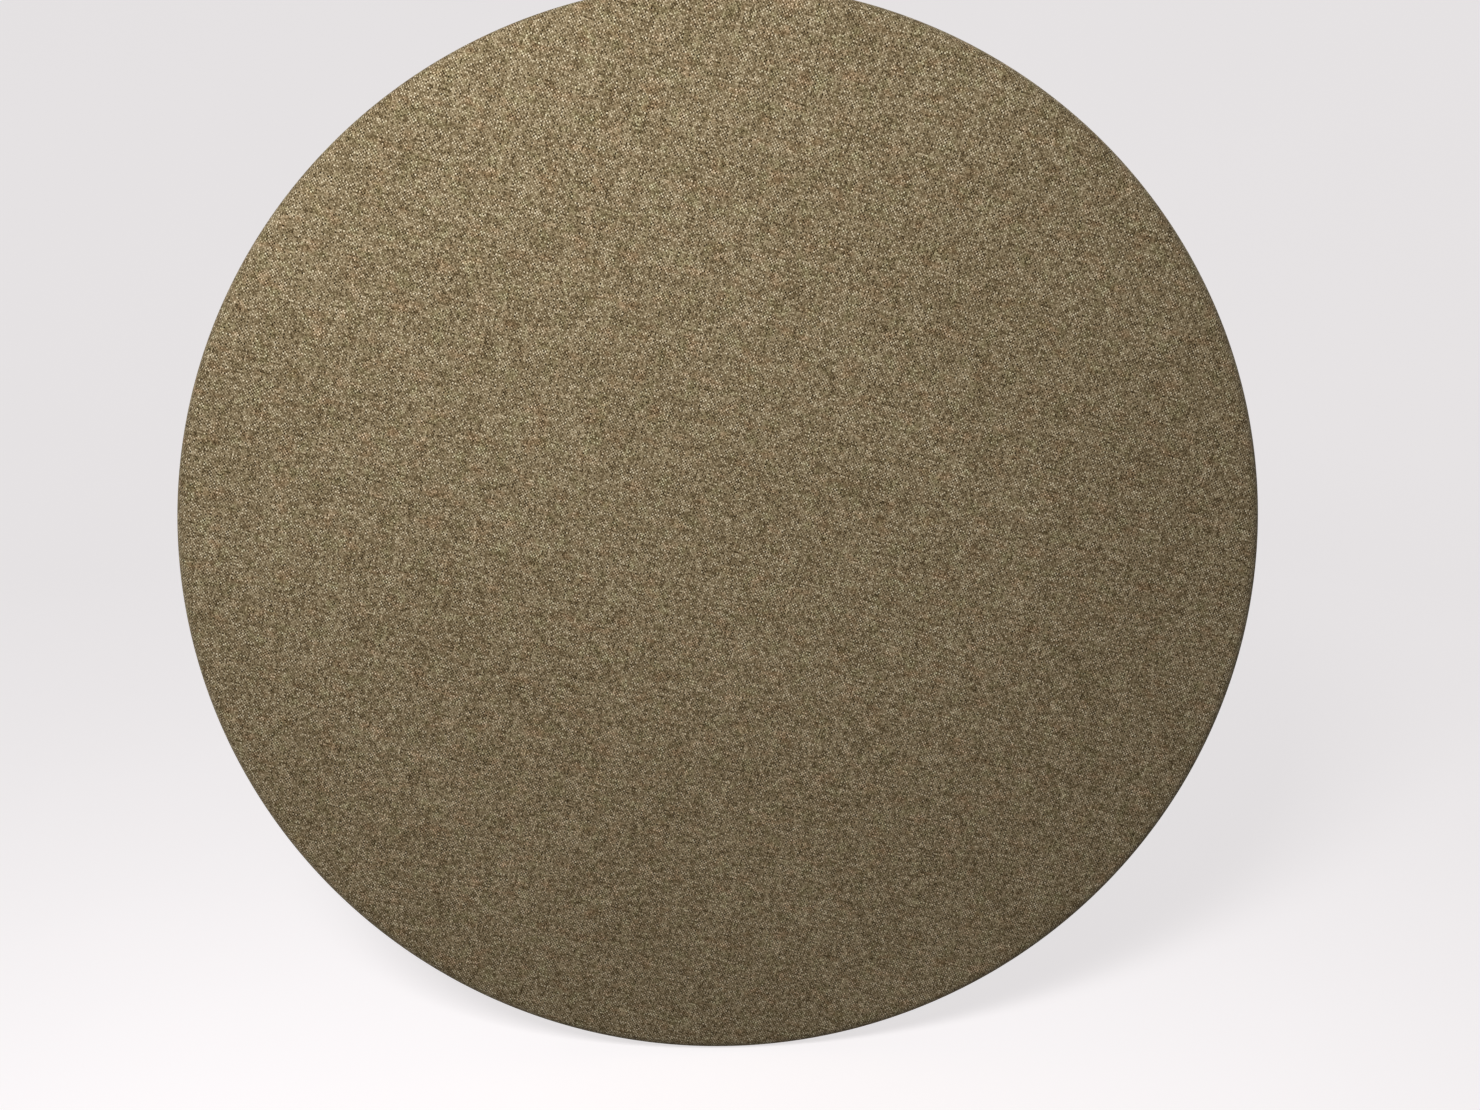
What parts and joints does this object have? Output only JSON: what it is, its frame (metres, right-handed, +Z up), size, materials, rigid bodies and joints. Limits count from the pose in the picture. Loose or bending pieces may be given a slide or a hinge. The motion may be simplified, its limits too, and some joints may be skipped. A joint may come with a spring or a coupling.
{
  "type": "round privacy panel",
  "caption": "Round fabric-covered privacy panel with a soft rolled edge, plywood hoop frame, absorbing core, rubber wall bumpers and swinging D-ring hangers.",
  "frame": {"origin": "centre of the covered front face, on the axis of the round panel", "axes": "+Z up the panel, +Y into the panel and out of its back towards the wall, -Y out of the covered face, +X to the right seen from the face"},
  "size_m": [1.2, 0.0493, 1.2],
  "materials": {
    "tweed_cloth": "matt melange tweed upholstery cloth, plain weave",
    "wadding": "needled polyester wadding",
    "birch_plywood": "sanded, unfinished",
    "pine": "planed, unfinished",
    "absorbing_core": "pressed fibre slab",
    "dust_cover": "black spun non-woven",
    "zinc_steel": "bright zinc plate",
    "bumper_rubber": "matt"
  },
  "bodies": {
    "panel": {"fabric_cover": "tweed_cloth", "wadding_layer": "wadding", "hoop_top_left": "birch_plywood", "hoop_top_right": "birch_plywood", "hoop_bottom_left": "birch_plywood", "hoop_bottom_right": "birch_plywood", "hoop_tongue_top": "birch_plywood", "hoop_tongue_right": "birch_plywood", "hoop_tongue_bottom": "birch_plywood", "hoop_tongue_left": "birch_plywood", "upper_rail": "pine", "lower_rail": "pine", "centre_stile": "pine", "core_top": "absorbing_core", "core_bottom": "absorbing_core", "core_left": "absorbing_core", "core_right": "absorbing_core", "back_cover": "dust_cover", "rail_screw_upper_left": "zinc_steel", "rail_screw_upper_right": "zinc_steel", "rail_screw_lower_left": "zinc_steel", "rail_screw_lower_right": "zinc_steel", "hanger_strap_left": "zinc_steel", "hanger_strap_right": "zinc_steel", "hanger_screw_left_upper": "zinc_steel", "hanger_screw_left_lower": "zinc_steel", "hanger_screw_right_upper": "zinc_steel", "hanger_screw_right_lower": "zinc_steel", "wall_bumper_upper_left": "bumper_rubber", "wall_bumper_upper_right": "bumper_rubber", "wall_bumper_lower_left": "bumper_rubber", "wall_bumper_lower_right": "bumper_rubber", "bumper_screw_upper_left": "zinc_steel", "bumper_screw_upper_right": "zinc_steel", "bumper_screw_lower_left": "zinc_steel", "bumper_screw_lower_right": "zinc_steel"},
    "ring_left": {"hanger_ring_left": "zinc_steel"},
    "ring_right": {"hanger_ring_right": "zinc_steel"}
  },
  "joints": [
    {"name": "ring_left_swing", "type": "hinge", "parent": "panel", "child": "ring_left", "pos_m": [-0.25, 0.04455, 0.351], "axis": [1, 0, 0], "range_deg": [0, 175]},
    {"name": "ring_right_swing", "type": "hinge", "parent": "panel", "child": "ring_right", "pos_m": [0.25, 0.04455, 0.351], "axis": [1, 0, 0], "range_deg": [0, 175]}
  ]
}
